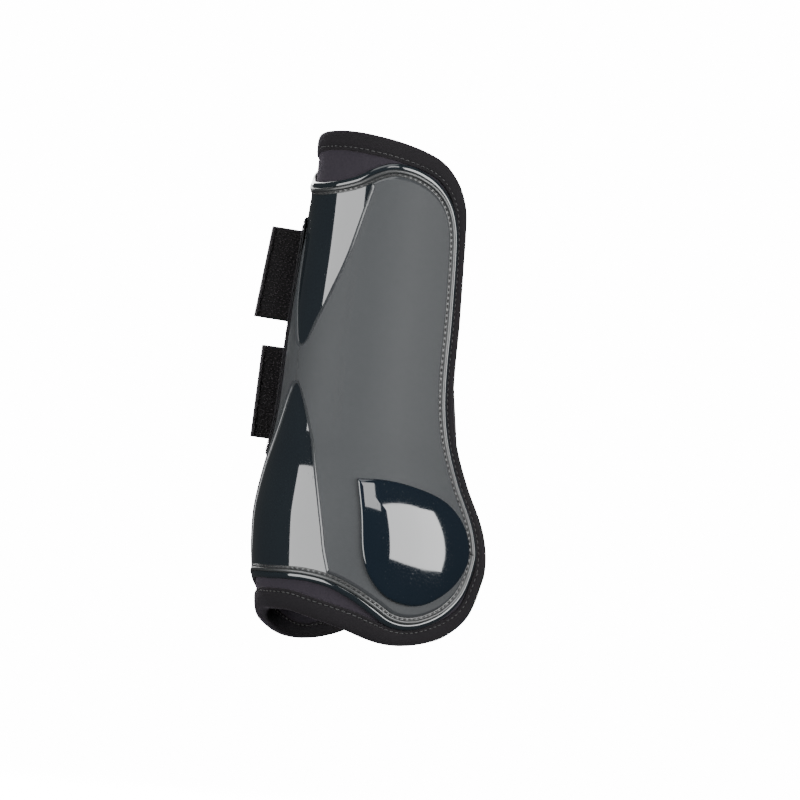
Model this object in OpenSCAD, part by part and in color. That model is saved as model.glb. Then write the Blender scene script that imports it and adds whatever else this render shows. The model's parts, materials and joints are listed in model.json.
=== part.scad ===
// Open-front tendon boot for a horse's left foreleg, in millimetres.
// +Z runs up the cannon bone, +X is the inner (medial) side and +Y is the open front.
// Every surface is found from an angle round the leg, a height and a distance off the lining:
// angle 0 is the spine at the back, 90 the medial side, -90 the lateral side.

/* [Shell] */
// Thickness of the glossy moulded shell
shell_t = 1.3; // [1:0.1:1.4]
// Thickness of the matt layer moulded over it
matt_t = 0.8; // [0.6:0.1:1]
// Height of each fetlock guard above the matt layer
guard_rise = 2.6; // [1.5:0.1:3.5]

/* [Lining] */
// Thickness of the neoprene lining
lining_t = 5; // [3:0.5:6]
// Width of the folded binding on each face of the lining
binding_w = 6; // [4:0.5:6]
// Thickness of the binding tape
binding_t = 0.6; // [0.4:0.1:0.6]

/* [Straps] */
// Width of each elastic strap
strap_w = 46.5; // [40:0.5:48]
// Thickness of the elastic webbing
strap_t = 1.3; // [1:0.1:1.5]
// Thickness of the hook tape
hook_t = 1.2; // [0.8:0.1:1.2]
// Thickness of the loop patch
loop_t = 1.5; // [1:0.1:1.5]
// Height of the upper strap's lower edge where it closes on the lateral side
upper_strap_z = 155.5; // [154:0.5:158]
// Height of the lower strap's lower edge where it closes on the lateral side
lower_strap_z = 95.5; // [94:0.5:97]
// How much lower each strap starts on the medial side
strap_drop = 2.3; // [0:0.1:4]

/* [Stitching] */
// Diameter of the sewing thread
thread_d = 0.8; // [0.5:0.1:0.8]

/* [Hidden] */

// Gap left between layers that lie face to face
gap = 0.2;
// Distances off the lining's outer face at which each layer starts and ends
shell_in = gap;
shell_out = shell_in + shell_t;
matt_in = shell_out + 0.3;
matt_out = matt_in + matt_t;
guard_in = matt_out + gap;
loop_in = matt_out + gap;
loop_out = loop_in + loop_t;
hook_in = loop_out + 0.35;
hook_out = hook_in + hook_t;
end_in = hook_out + 0.15;
end_out = end_in + strap_t;

// The leg's section: [height, half width], and [height, how far forward its centre lies]
half_width = [[-10, 41], [0, 42.5], [15, 45], [30, 46.6], [45, 47.4], [60, 46], [80, 41], [100, 36.4],
    [120, 34.3], [160, 33.4], [200, 32.1], [250, 31.6]];
centre_y = [[-10, 8.5], [30, 8.5], [45, 8], [60, 6], [80, 2.7], [100, 1.3], [120, 0.3], [140, 0.3],
    [160, 1], [200, 2.1], [250, 2.4]];
// Depth of the section behind and in front of its centre, in half widths
back_depth = 1.15;
front_depth = 1.48;

// Outlines as [angle, height], from the spine to the front corner; the other wing mirrors them
shell_top = [[0, 222.5], [18, 223.5], [33, 226], [46, 230.5], [58, 233.5], [70, 234], [84, 232.5],
    [97, 229], [108, 223], [116, 215], [121, 204], [122.5, 190]];
shell_bottom = [[0, 24.5], [14, 24.7], [27, 24.4], [40, 22.4], [52, 18], [64, 12], [75, 6.6],
    [86, 5], [97, 7], [109, 14], [118.5, 26], [123.5, 45]];
lining_top = [[0, 248], [17, 247.8], [34, 247], [49, 245.8], [63, 244.6], [77, 243], [92, 241],
    [104, 238], [115, 232.5], [124, 225.5], [131, 216], [133, 203]];
lining_bottom = [[0, 11], [14, 10.8], [27, 8.5], [40, 6], [52, 3.4], [64, 0.4], [76, -1.5],
    [89, -1.6], [102, 0.6], [115, 5.6], [127, 16.5], [133.5, 36]];
matt_top = [[45.5, 222], [57, 227], [70, 228], [83, 226.6], [94, 223.4], [103, 218.6], [110, 211.5],
    [114, 202], [115, 190]];
matt_bottom = [[40, 28.5], [52, 24.5], [64, 18], [75, 12.5], [86, 11], [96, 13], [105, 18.5],
    [112, 28], [115.5, 45]];
// The matt layer's rear edge: up beside the lower window, along the spine, up beside the upper window
matt_rear = [[40, 28.5], [36, 40], [34, 53], [31.5, 66], [28, 79], [23, 92], [17.5, 101], [10, 112],
    [4, 118.5], [0, 121], [0, 131], [0, 141.5], [6, 145.2], [12, 153.5], [18, 162], [23, 170.5],
    [28, 179], [32.8, 189], [37, 200], [40.8, 210], [45.5, 222]];
// Outline of the fetlock guard, once round
guard_rim = [[55.5, 76.5], [72, 77.2], [92, 75], [106, 70], [113, 61], [115, 49], [113, 38],
    [106, 27], [94, 18.5], [82, 17.5], [70, 21.5], [61, 31], [57, 43], [56.5, 60]];
guard_middle = [86, 47];
loop_top = [[-118, 196], [-117.2, 202.8], [-112.5, 206.8], [-101, 207.4], [-76, 207.5], [-51, 207.4],
    [-39.5, 206.6], [-35, 202.4], [-34.2, 195]];
loop_bottom = [[-118, 96], [-117.2, 89.6], [-112.5, 86.2], [-101, 85.6], [-76, 85.5], [-51, 85.6],
    [-39.5, 86.4], [-35, 90.6], [-34.2, 98]];

// Distance of each strap's inner face off the lining, against the angle counted on past the front
closing = [[217, -1.2], [224, 1.4], [229, 2.6], [233, 4.2], [236.5, 5.4], [239.4, end_in]];
upper_off = [[137.6, -3.3], [141, -3.4], [145, -3.8], [150, -4.4], [165, -5.6], [180, -6.2],
    [195, -5.5], [207, -3.6], each closing];
lower_off = [[137.6, -3.6], [141, -4.4], [145, -5], [150, -5.5], [165, -6.8], [180, -7.6],
    [195, -7], [207, -4.6], each closing];
// Each strap: [height of its lower edge, free length of its end below, and above, distances off]
upper = [upper_strap_z, 40.4, 37, upper_off];
lower = [lower_strap_z, 33.6, 33.4, lower_off];
// Angles, counted on past the front: where the strap leaves its anchor, where its end begins,
// where the end stops following the boot and runs straight back
root_angle = 137.6;
peel_angle = 239.4;
straight_angle = 270;

// ---- curves ----
function span_of(p, t, i = 0) = i >= len(p) - 2 || t < p[i + 1][0] ? i : span_of(p, t, i + 1);
function slope(p, i) = let (a = max(i - 1, 0), b = min(i + 1, len(p) - 1))
    (p[b][1] - p[a][1]) / (p[b][0] - p[a][0]);
// Smooth curve through [t, value] pairs
function along(p, t) = let (i = span_of(p, t), h = p[i + 1][0] - p[i][0],
    u = min(max((t - p[i][0]) / h, 0), 1))
    (1 + 2 * u) * (1 - u) * (1 - u) * p[i][1] + u * (1 - u) * (1 - u) * h * slope(p, i)
    + u * u * (3 - 2 * u) * p[i + 1][1] + u * u * (u - 1) * h * slope(p, i + 1);
// Smooth curve through a list of points, t from 0 to 1
function curve(points, t) = along([for (i = [0:len(points) - 1]) [i, points[i]]], t * (len(points) - 1));
function mix(a, b, t) = a + (b - a) * t;
function mirrored(p) = [-p.x, p.y];
// Outline across both wings, t from -1 on the lateral side to 1 on the medial side
function both(points, t) = t < 0 ? mirrored(curve(points, -t)) : curve(points, t);

// ---- the boot's surface ----
function on_boot(angle, z, off) = let (b = along(half_width, z), yc = along(centre_y, z),
    side = angle < 0 ? -1 : 1, a = abs(angle))
    a <= 90 ? [side * (b + off) * sin(a), yc - (back_depth * b + off) * cos(a), z]
    : [side * (b + off) * sqrt(max(cos(a - 90), 0)), yc + (front_depth * b + off) * sin(a - 90), z];

// ---- solids ----
// Closed solid from rings of points; the rings join up at the ends or are capped there
module loft(rings, joined = false) {
    n = len(rings);
    k = len(rings[0]);
    function at(i, j) = (i % n) * k + j % k;
    middle = [for (r = [rings[0], rings[n - 1]]) [for (c = [0:2]) mix(0, 1, [for (p = r) p[c]] *
        [for (p = r) 1 / k])]];
    walls = [for (i = [0:joined ? n - 1 : n - 2]) for (j = [0:k - 1])
        each [[at(i, j), at(i, j + 1), at(i + 1, j + 1)], [at(i, j), at(i + 1, j + 1), at(i + 1, j)]]];
    caps = joined ? [] : [for (j = [0:k - 1])
        each [[n * k, at(0, j + 1), at(0, j)], [n * k + 1, at(n - 1, j), at(n - 1, j + 1)]]];
    polyhedron([for (r = rings) each r, if (!joined) each middle], [each walls, each caps]);
}

// Faces of a sheet, given its size in rows and columns; first is the index of its first point
function sheet_faces(rows, cols, first, open_edge) = let (size = rows * cols,
    o = function (i, j) first + i * cols + j, n = function (i, j) first + size + i * cols + j)
    [for (i = [0:rows - 2]) for (j = [0:cols - 2]) each [
        [o(i, j), o(i + 1, j), o(i + 1, j + 1)], [o(i, j), o(i + 1, j + 1), o(i, j + 1)],
        [n(i, j), n(i + 1, j + 1), n(i + 1, j)], [n(i, j), n(i, j + 1), n(i + 1, j + 1)]],
    for (j = [0:cols - 2]) each [
        [o(0, j), o(0, j + 1), n(0, j + 1)], [o(0, j), n(0, j + 1), n(0, j)],
        [o(rows - 1, j + 1), o(rows - 1, j), n(rows - 1, j)],
        [o(rows - 1, j + 1), n(rows - 1, j), n(rows - 1, j + 1)]],
    for (i = [0:rows - 2]) each [
        if (!open_edge[i]) each [[o(i + 1, 0), o(i, 0), n(i, 0)], [o(i + 1, 0), n(i, 0), n(i + 1, 0)]],
        [o(i, cols - 1), o(i + 1, cols - 1), n(i + 1, cols - 1)],
        [o(i, cols - 1), n(i + 1, cols - 1), n(i, cols - 1)]]];
function flipped(faces) = [for (f = faces) [f[0], f[2], f[1]]];

// Sheet between two grids of points, rows going up
module sheet(outer, inner) {
    rows = len(outer);
    cols = len(outer[0]);
    polyhedron([for (r = outer) each r, for (r = inner) each r],
        sheet_faces(rows, cols, 0, [for (i = [0:rows - 1]) false]));
}
// Sheet on the boot over a grid of [angle, height]
module boot_sheet(grid, inner, outer)
    sheet([for (r = grid) [for (p = r) on_boot(p.x, p.y, outer)]],
        [for (r = grid) [for (p = r) on_boot(p.x, p.y, inner)]]);

// Grid between two outlines, t running from the first to the last
function between(bottom, top, first, last, cols, rows) = [for (i = [0:rows])
    [for (j = [0:cols]) let (t = mix(first, last, j / cols)) mix(both(bottom, t), both(top, t), i / rows)]];

// Closed rim as [angle, height], anticlockwise as seen from outside
function rim(bottom, top, first, last, cols, sides) = let (corner = function (t) [both(bottom, t), both(top, t)])
    [for (j = [0:cols - 1]) both(bottom, mix(first, last, j / cols)),
    for (i = [0:sides - 1]) mix(corner(last)[0], corner(last)[1], i / sides),
    for (j = [0:cols - 1]) both(top, mix(last, first, j / cols)),
    for (i = [0:sides - 1]) mix(corner(first)[1], corner(first)[0], i / sides)];
// The point a given way in from the rim, measured along the surface
function inset(edge, i, way) = let (n = len(edge), p = edge[i], a = edge[(i + n - 1) % n],
    b = edge[(i + 1) % n], mm = norm(on_boot(p.x + 1, p.y, 0) - on_boot(p.x - 1, p.y, 0)) / 2,
    run = [(b.x - a.x) * mm, b.y - a.y], u = run / norm(run)) [p.x - way * u.y / mm, p.y + way * u.x];
// Band that follows the rim: its section is a list of [way in from the rim, distance off the lining]
module rim_band(edge, section)
    loft([for (i = [0:len(edge) - 1]) [for (s = section) let (p = inset(edge, i, s.x))
        on_boot(p.x, p.y, s.y)]], joined = true);
function thread_section(way, off) = [for (k = [0:4]) [way + thread_d / 2 * cos(72 * k),
    off + thread_d / 2 * (1 + sin(72 * k))]];

// ---- shell ----
shell_edge = rim(shell_bottom, shell_top, -1, 1, 44, 20);
lining_edge = rim(lining_bottom, lining_top, -1, 1, 40, 20);

module tendon_shell() color([0.03, 0.04, 0.045])
    boot_sheet(between(shell_bottom, shell_top, -1, 1, 44, 20), shell_in, shell_out);

// Grid of one matt wing: its rear edge bends round both windows
matt_cols = 13;
function matt_grid() = let (low = matt_rear[0].y, high = matt_rear[len(matt_rear) - 1].y)
    [for (r = matt_rear) let (v = (r.y - low) / (high - low),
        front = mix(matt_bottom[8], matt_top[8], v))
        [for (j = [0:matt_cols]) let (t = j / matt_cols, b = curve(matt_bottom, t), a = curve(matt_top, t))
            j == 0 ? r : j == matt_cols ? front : mix(b, a, v) + mix(r, front, t)
            - mix(mix(matt_bottom[0], matt_top[0], v), mix(matt_bottom[8], matt_top[8], v), t)]];
module matt_overlay() color([0.30, 0.31, 0.32]) {
    grid = matt_grid();
    cols = matt_cols + 1;
    // Both wings are one moulding, joined along the spine between the windows
    joined = [for (i = [0:len(grid) - 2]) grid[i][0].x == 0 && grid[i + 1][0].x == 0];
    medial = [for (off = [matt_out, matt_in]) for (r = grid) for (p = r) on_boot(p.x, p.y, off)];
    lateral = [for (p = medial) [-p.x, p.y, p.z]];
    polyhedron([each medial, each lateral], [each sheet_faces(len(grid), cols, 0, joined),
        each flipped(sheet_faces(len(grid), cols, len(medial), joined))]);
}

// Guard: rings that shrink to its middle, [share of the outline, share of the rise]
guard_crown = [[0.3, 0], [0.65, 0], [1, 0], [1, 0.35], [0.975, 0.62], [0.93, 0.74], [0.8, 0.85],
    [0.6, 0.94], [0.3, 1]];
module fetlock_guard() {
    points = 40;
    outline = [each guard_rim, guard_rim[0]];
    loft([for (g = guard_crown) [for (k = [0:points - 1])
        let (p = mix(guard_middle, curve(outline, k / points), g[0]))
        on_boot(p.x, p.y, guard_in + guard_rise * g[1])]]);
}
module medial_fetlock_guard() color([0.02, 0.03, 0.04]) fetlock_guard();
module lateral_fetlock_guard() color([0.02, 0.03, 0.04]) mirror([1, 0, 0]) fetlock_guard();

// ---- lining ----
module neoprene_lining() color([0.13, 0.12, 0.14])
    boot_sheet(between(lining_bottom, lining_top, -1, 1, 40, 20), -lining_t, 0);

module edge_binding() color([0.12, 0.11, 0.13]) {
    clear = 0.25;
    out = clear + binding_t;
    rim_band(lining_edge, [[binding_w, out], [0, out], [-clear - binding_t, clear],
        [-clear - binding_t, -lining_t - clear], [0, -lining_t - out], [binding_w, -lining_t - out],
        [binding_w, -lining_t - clear], [-clear, -lining_t - clear], [-clear, clear],
        [binding_w, clear]]);
}
module binding_stitching() color([0.08, 0.08, 0.09])
    rim_band(lining_edge, thread_section(binding_w - 1.4, binding_t + 0.4));
module shell_stitching() color([0.06, 0.06, 0.07])
    rim_band(shell_edge, thread_section(4.4, shell_out + 0.2));

// ---- loop patch on the lateral wing ----
module loop_patch() color([0.05, 0.05, 0.055])
    boot_sheet([for (i = [0:12]) [for (j = [0:24])
        mix(curve(loop_bottom, j / 24), curve(loop_top, j / 24), i / 12)]], loop_in, loop_out);
module loop_patch_stitching() color([0.04, 0.04, 0.045]) {
    steps = 24;
    sides = 12;
    last = len(loop_top) - 1;
    edge = [for (j = [0:steps - 1]) curve(loop_bottom, j / steps),
        for (i = [0:sides - 1]) mix(loop_bottom[last], loop_top[last], i / sides),
        for (j = [0:steps - 1]) curve(loop_top, 1 - j / steps),
        for (i = [0:sides - 1]) mix(loop_top[0], loop_bottom[0], i / sides)];
    rim_band(edge, thread_section(1.2, loop_out + 0.1));
}

// ---- straps ----
// Point on the boot at an angle counted past the front, at a share of the strap's width
function strap_spot(strap, angle, share, off) = let (
    fall = min(max((peel_angle - angle) / (peel_angle - root_angle), 0), 1),
    z = strap[0] + strap_w * share - strap_drop * fall)
    on_boot(angle > 180 ? angle - 360 : angle, z, off);
// Point on a strap: s from 0 to 1 follows the boot, 1 to 2 runs straight back. The strap is straight
// from its lower edge, share 0, to its upper edge, share 1
function strap_point(strap, s, share, lift) = let (angle = mix(root_angle, straight_angle, min(s, 1)),
    off = (angle < peel_angle ? along(strap[3], angle) : end_in) + lift)
    mix(strap_spot(strap, angle, 0, off), strap_spot(strap, angle, 1, off), share)
    + max(s - 1, 0) * mix(strap[1], strap[2], share) * [-0.05, -1, 0];
peel_s = (peel_angle - root_angle) / (straight_angle - root_angle);
// Share of the strap's width at which the hook tape's seam lies
seam = 3 / strap_w;
// Piece of a strap that passes through the given stations
module strap_piece(strap, stations, inner, outer)
    sheet([for (e = [0, seam, 1 - seam, 1]) [for (s = stations) strap_point(strap, s, e, outer)]],
        [for (e = [0, seam, 1 - seam, 1]) [for (s = stations) strap_point(strap, s, e, inner)]]);

module strap_anchor(strap) color([0.06, 0.06, 0.065]) {
    // Sewn into the lining's front edge and out through the binding's fold: [angle, share of the way
    // from following the lining to straight across the strap]
    run = [[122, 0], [128, 0], [133, 0.1], [136.8, 1]];
    root_off = strap[3][0][1];
    spot = function (r, e, off) mix(strap_spot(strap, r[0], e, off),
        mix(strap_spot(strap, r[0], 0, off), strap_spot(strap, r[0], 1, off), e), r[1]);
    sheet([for (e = [0:0.25:1]) [for (r = run) spot(r, e, root_off + strap_t)]],
        [for (e = [0:0.25:1]) [for (r = run) spot(r, e, root_off)]]);
}
module strap(which) color([0.05, 0.05, 0.055])
    strap_piece(which, [for (k = [0:20]) mix(0, peel_s, k / 20)], 0, strap_t);
end_start = peel_s + 0.005;
end_stations = [end_start, for (k = [1:6]) mix(end_start, 1, k / 6), 1.25, 1.5, 1.75, 1.92, 2];
module strap_end(which) color([0.06, 0.06, 0.065]) strap_piece(which, end_stations, 0, strap_t);
hook_stations = [end_start + 0.055, for (k = [2:10]) end_stations[k], 1.98];
module hook_tape(which) color([0.03, 0.03, 0.033])
    strap_piece(which, hook_stations, hook_in - end_in, hook_out - end_in);
// Seam round the hook tape, on the outer face of the strap's end
module hook_stitching(which) color([0.05, 0.05, 0.055]) {
    path = [for (k = [2:9]) [end_stations[k], seam],
        for (k = [0:3]) [end_stations[10], mix(seam, 1 - seam, k / 4)],
        for (k = [10:-1:3]) [end_stations[k], 1 - seam],
        for (k = [0:3]) [end_stations[2], mix(1 - seam, seam, k / 4)]];
    n = len(path);
    lift = strap_t + 0.12;
    spot = function (i, up) strap_point(which, path[i % n].x, path[i % n].y, lift + up);
    loft([for (i = [0:n - 1]) let (run = spot(i + 1, 0) - spot(i + n - 1, 0), up = spot(i, 1) - spot(i, 0),
        across = cross(run, up) / norm(cross(run, up)))
        [for (k = [0:4]) spot(i, 0.4 + 0.4 * sin(72 * k)) + across * 0.4 * cos(72 * k)]], joined = true);
}

tendon_shell();
matt_overlay();
medial_fetlock_guard();
lateral_fetlock_guard();
neoprene_lining();
edge_binding();
shell_stitching();
binding_stitching();
loop_patch();
loop_patch_stitching();
strap_anchor(upper);  // upper_strap_anchor
strap(upper);  // upper_strap
strap_end(upper);  // upper_strap_end
hook_tape(upper);  // upper_hook_tape
hook_stitching(upper);  // upper_hook_stitching
strap_anchor(lower);  // lower_strap_anchor
strap(lower);  // lower_strap
strap_end(lower);  // lower_strap_end
hook_tape(lower);  // lower_hook_tape
hook_stitching(lower);  // lower_hook_stitching
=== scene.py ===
"""Looks of an open-front tendon boot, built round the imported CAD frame.

Every boot surface is found from an angle round the leg (degrees, 0 at the spine, 90 on the medial
side, -90 on the lateral side), a height and a distance off the lining's outer face, both in mm.
"""

import json
import math

import bpy
import numpy as np
from mathutils import Matrix, Vector


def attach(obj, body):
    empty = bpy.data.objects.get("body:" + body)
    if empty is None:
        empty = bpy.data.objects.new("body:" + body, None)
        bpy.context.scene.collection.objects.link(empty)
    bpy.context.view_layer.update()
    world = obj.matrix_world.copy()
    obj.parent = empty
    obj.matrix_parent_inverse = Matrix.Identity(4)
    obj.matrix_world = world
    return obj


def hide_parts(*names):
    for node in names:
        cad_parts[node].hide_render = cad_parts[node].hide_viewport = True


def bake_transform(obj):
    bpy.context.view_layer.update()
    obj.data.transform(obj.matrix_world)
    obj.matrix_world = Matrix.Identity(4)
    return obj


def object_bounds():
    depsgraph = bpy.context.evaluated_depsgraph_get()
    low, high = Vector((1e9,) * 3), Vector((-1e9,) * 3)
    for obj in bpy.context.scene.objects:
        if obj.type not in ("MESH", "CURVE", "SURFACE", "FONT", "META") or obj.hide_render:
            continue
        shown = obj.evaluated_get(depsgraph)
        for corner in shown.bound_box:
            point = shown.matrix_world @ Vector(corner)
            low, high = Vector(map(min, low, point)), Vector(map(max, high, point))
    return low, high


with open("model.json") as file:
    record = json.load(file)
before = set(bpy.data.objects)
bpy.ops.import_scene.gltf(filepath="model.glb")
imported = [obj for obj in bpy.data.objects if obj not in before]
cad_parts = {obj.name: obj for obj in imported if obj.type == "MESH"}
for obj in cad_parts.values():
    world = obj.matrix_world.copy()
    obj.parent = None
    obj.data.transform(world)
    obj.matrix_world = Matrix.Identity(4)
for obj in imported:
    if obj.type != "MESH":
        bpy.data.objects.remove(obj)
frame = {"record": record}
cad_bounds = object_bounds()
MM = 0.001
rng = np.random.default_rng(7)

# ---- driving sizes, as in the CAD model
HALF_WIDTH = [(-10, 41), (0, 42.5), (15, 45), (30, 46.6), (45, 47.4), (60, 46), (80, 41), (100, 36.4),
              (120, 34.3), (160, 33.4), (200, 32.1), (250, 31.6)]
CENTRE_Y = [(-10, 8.5), (30, 8.5), (45, 8), (60, 6), (80, 2.7), (100, 1.3), (120, 0.3), (140, 0.3),
            (160, 1), (200, 2.1), (250, 2.4)]
BACK_DEPTH, FRONT_DEPTH = 1.15, 1.48

SHELL_TOP = [(0, 222.5), (18, 223.5), (33, 226), (46, 230.5), (58, 233.5), (70, 234), (84, 232.5),
             (97, 229), (108, 223), (116, 215), (121, 204), (122.5, 190)]
SHELL_BOTTOM = [(0, 24.5), (14, 24.7), (27, 24.4), (40, 22.4), (52, 18), (64, 12), (75, 6.6),
                (86, 5), (97, 7), (109, 14), (118.5, 26), (123.5, 45)]
LINING_TOP = [(0, 248), (17, 247.8), (34, 247), (49, 245.8), (63, 244.6), (77, 243), (92, 241),
              (104, 238), (115, 232.5), (124, 225.5), (131, 216), (133, 203)]
LINING_BOTTOM = [(0, 11), (14, 10.8), (27, 8.5), (40, 6), (52, 3.4), (64, 0.4), (76, -1.5),
                 (89, -1.6), (102, 0.6), (115, 5.6), (127, 16.5), (133.5, 36)]
UPPER_WINDOW = [(0, 141.3), (3.4, 142.2), (6.6, 145.2), (12, 153.5), (18, 162), (23, 170.5), (28, 179),
                (32.8, 189),
                (37, 200), (40.8, 210), (45.5, 222)]
LOWER_WINDOW = [(0, 121.3), (3.0, 120.3), (5.8, 117.6), (10.4, 112), (17.5, 101), (23, 92), (28, 79),
                (31.5, 66),
                (34, 53), (36, 40), (40, 26)]
GUARD_RIM = [(55.5, 76.5), (72, 77.2), (92, 75), (106, 70), (113, 61), (115, 49), (113, 38),
             (106, 27), (94, 18.5), (82, 17.5), (70, 21.5), (61, 31), (57, 43), (56.5, 60), (55.5, 76.5)]
GUARD_MIDDLE = (86, 47)
LOOP_TOP = [(-118, 196), (-117.2, 202.8), (-112.5, 206.8), (-101, 207.4), (-76, 207.5), (-51, 207.4),
            (-39.5, 206.6), (-35, 202.4), (-34.2, 195)]
LOOP_BOTTOM = [(-118, 96), (-117.2, 89.6), (-112.5, 86.2), (-101, 85.6), (-76, 85.5), (-51, 85.6),
               (-39.5, 86.4), (-35, 90.6), (-34.2, 98)]

# Distances off the lining
SHELL_IN, SHELL_OUT = 0.25, 1.5
MATT_OUT = 2.6
GUARD_IN, GUARD_RISE = 2.5, 2.7
LOOP_IN, LOOP_OUT = 2.75, 3.6
HOOK_IN, HOOK_OUT = 5.15, 5.85
STRAP_IN = 6.0
LINING_T = 5.0
FRAME_WAY = 6.3      # the matt wings start this far in from the shell's rim

# Straps: height of the lower edge, free length of the end below and above, distances off the lining
STRAP_W, STRAP_T, STRAP_DROP = 46.5, 1.3, 2.3
CLOSING = [(217, -1.2), (224, 1.4), (229, 2.6), (233, 4.2), (236.5, 5.4), (239.4, STRAP_IN), (400, STRAP_IN)]
UPPER_OFF = [(120, -3.3), (137.6, -3.3), (141, -3.4), (145, -3.8), (150, -4.4), (165, -5.6), (180, -6.2),
             (195, -5.5), (207, -3.6)] + CLOSING
LOWER_OFF = [(120, -3.6), (137.6, -3.6), (141, -4.4), (145, -5), (150, -5.5), (165, -6.8), (180, -7.6),
             (195, -7), (207, -4.6)] + CLOSING
STRAPS = {"upper": (155.5, 40.4, 37, UPPER_OFF), "lower": (95.5, 33.6, 33.4, LOWER_OFF)}
HIDDEN_ANGLE, ROOT_ANGLE, PEEL_ANGLE, STRAIGHT_ANGLE = 129, 137.6, 239.4, 270


# ---- curves and the boot's surface
def along(pairs, t):
    """Smooth curve through (t, value) pairs."""
    x, y = np.array(pairs, float).T
    t = np.asarray(t, float)
    lo = np.maximum(np.arange(len(x)) - 1, 0)
    hi = np.minimum(np.arange(len(x)) + 1, len(x) - 1)
    slope = (y[hi] - y[lo]) / (x[hi] - x[lo])
    i = np.clip(np.searchsorted(x, t, side="right") - 1, 0, len(x) - 2)
    h = x[i + 1] - x[i]
    u = np.clip((t - x[i]) / h, 0, 1)
    return ((1 + 2 * u) * (1 - u) ** 2 * y[i] + u * (1 - u) ** 2 * h * slope[i]
            + u * u * (3 - 2 * u) * y[i + 1] + u * u * (u - 1) * h * slope[i + 1])


def curve(points, t):
    """Smooth curve through points, t from 0 to 1; returns (..., 2)."""
    p = np.array(points, float)
    k = np.arange(len(p))
    t = np.asarray(t, float) * (len(p) - 1)
    return np.stack([along(np.stack([k, p[:, c]], 1), t) for c in range(2)], -1)


def on_boot(angle, z, off):
    """Point on the boot in metres."""
    angle, z, off = np.broadcast_arrays(*(np.asarray(value, float) for value in (angle, z, off)))
    angle = np.where(angle > 180, angle - 360, angle)
    b, yc = along(HALF_WIDTH, z), along(CENTRE_Y, z)
    a, side = np.radians(np.abs(angle)), np.where(angle < 0, -1.0, 1.0)
    turn = np.maximum(a - math.pi / 2, 0)
    behind = a <= math.pi / 2
    x = (b + off) * np.where(behind, np.sin(a), np.sqrt(np.maximum(np.cos(turn), 0)))
    y = np.where(behind, yc - (BACK_DEPTH * b + off) * np.cos(a), yc + (FRONT_DEPTH * b + off) * np.sin(turn))
    return np.stack([side * x, y, z], -1) * MM


def mm_per_degree(p):
    return np.linalg.norm(on_boot(p[..., 0] + 0.5, p[..., 1], 0) - on_boot(p[..., 0] - 0.5, p[..., 1], 0),
                          axis=-1)[..., None] / MM


def lift_of(p):
    """Outward unit normal of the boot at (angle, z)."""
    step = 0.2
    n = np.cross(on_boot(p[..., 0] + step, p[..., 1], 0) - on_boot(p[..., 0] - step, p[..., 1], 0),
                 on_boot(p[..., 0], p[..., 1] + step, 0) - on_boot(p[..., 0], p[..., 1] - step, 0))
    return n / np.linalg.norm(n, axis=-1, keepdims=True)


def inward(loop, closed=True):
    """Unit normals into an anticlockwise outline, in (degrees, mm) for one millimetre."""
    if closed:
        run = np.roll(loop, -1, 0) - np.roll(loop, 1, 0)
    else:
        run = np.gradient(loop, axis=0)
    scale = mm_per_degree(loop)[:, 0]
    run = np.stack([run[:, 0] * scale, run[:, 1]], 1)
    run /= np.linalg.norm(run, axis=1, keepdims=True)
    return np.stack([-run[:, 1] / scale, run[:, 0]], 1)


def resample(points, count, closed=False):
    """Points spaced evenly along the surface; (count + 1) of them, or count when closed."""
    p = np.vstack([points, points[:1]]) if closed else points
    xyz = on_boot(p[:, 0], p[:, 1], 0)
    s = np.concatenate([[0], np.cumsum(np.linalg.norm(np.diff(xyz, axis=0), axis=1))])
    t = np.linspace(0, s[-1], count + 1)[: count if closed else count + 1]
    return np.stack([np.interp(t, s, p[:, 0]), np.interp(t, s, p[:, 1])], 1)


def both_wings(points, n):
    """Outline across both wings from the lateral to the medial side."""
    half = curve(points, np.linspace(0, 1, 200))
    return resample(np.vstack([half[:0:-1] * [-1, 1], half]), n)


def rim(bottom, top, n, m):
    """Closed anticlockwise rim: n points along the bottom, m up the front, n along the top, m down."""
    low, high = both_wings(bottom, n), both_wings(top, n)
    up = np.linspace(0, 1, m + 1)[:, None]
    return np.vstack([low[:-1], (low[-1] + up * (high[-1] - low[-1]))[:-1], high[:0:-1],
                      (high[0] + up * (low[0] - high[0]))[:-1]])


def coons(bottom, right, top, left):
    """Grid (rows up, columns across) filled in between four boundary curves."""
    u = np.linspace(0, 1, len(bottom))[None, :, None]
    v = np.linspace(0, 1, len(right))[:, None, None]
    corners = ((1 - u) * (1 - v) * bottom[0] + u * (1 - v) * bottom[-1]
               + (1 - u) * v * top[0] + u * v * top[-1])
    return (1 - v) * bottom[None] + v * top[None] + (1 - u) * left[:, None] + u * right[:, None] - corners


def patch(loop, n, m):
    """The grid inside a closed loop that was made by rim()."""
    wrap = np.vstack([loop, loop[:1]])
    return coons(wrap[: n + 1], wrap[n: n + m + 1], wrap[n + m: 2 * n + m + 1][::-1],
                 wrap[2 * n + m:][::-1])


def edge_index(n, m, cols):
    """Index in a row-major grid of each point of its rim, in the rim's order."""
    k = np.concatenate([np.arange(n), n + cols * np.arange(m), m * cols + n - np.arange(n),
                        cols * (m - np.arange(m))])
    return k


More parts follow.
